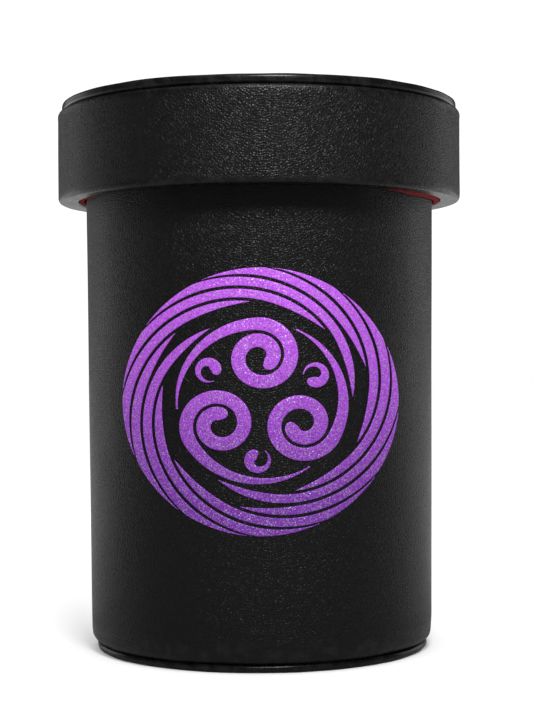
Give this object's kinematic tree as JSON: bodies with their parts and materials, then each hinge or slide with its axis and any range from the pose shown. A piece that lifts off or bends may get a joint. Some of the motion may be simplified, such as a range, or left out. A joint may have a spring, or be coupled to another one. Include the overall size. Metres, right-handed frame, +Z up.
{
  "type": "dice cup",
  "caption": "Round black leather dice cup, gently tapered and lined with red velvet, with a purple swirl ornament on the front and a lift-off lid with an overhanging band.",
  "frame": {"origin": "centre of the foot's underside, on the surface the cup stands on", "axes": "+Z up along the cup's axis, through the lid; the ornament faces -Y and the back seam is at +Y"},
  "size_m": [0.102, 0.102, 0.1373],
  "materials": {
    "leather_black": "satin",
    "velvet_red": "matte",
    "glitter_film": "satin",
    "board": "matte",
    "padding": "matte"
  },
  "bodies": {
    "cup": {"cup_wall_core": "board", "cup_base_core": "board", "cup_wall_padding": "padding", "cup_wall_leather": "leather_black", "base_cover_board": "board", "base_cover_leather": "leather_black", "cup_floor_pad": "padding", "cup_floor_velvet": "velvet_red", "cup_wall_velvet": "velvet_red", "emblem_print": "glitter_film"},
    "lid": {"lid_wall_core": "board", "lid_top_core": "board", "lid_wall_padding": "padding", "lid_wall_leather": "leather_black", "lid_cap_board": "board", "lid_cap_leather": "leather_black", "lid_ceiling_pad": "padding", "lid_ceiling_velvet": "velvet_red", "lid_wall_velvet": "velvet_red"}
  },
  "joints": [
    {"name": "lid_lift", "type": "slide", "parent": "cup", "child": "lid", "axis": [0, 0, 1], "range_m": [0, 0.08]}
  ]
}
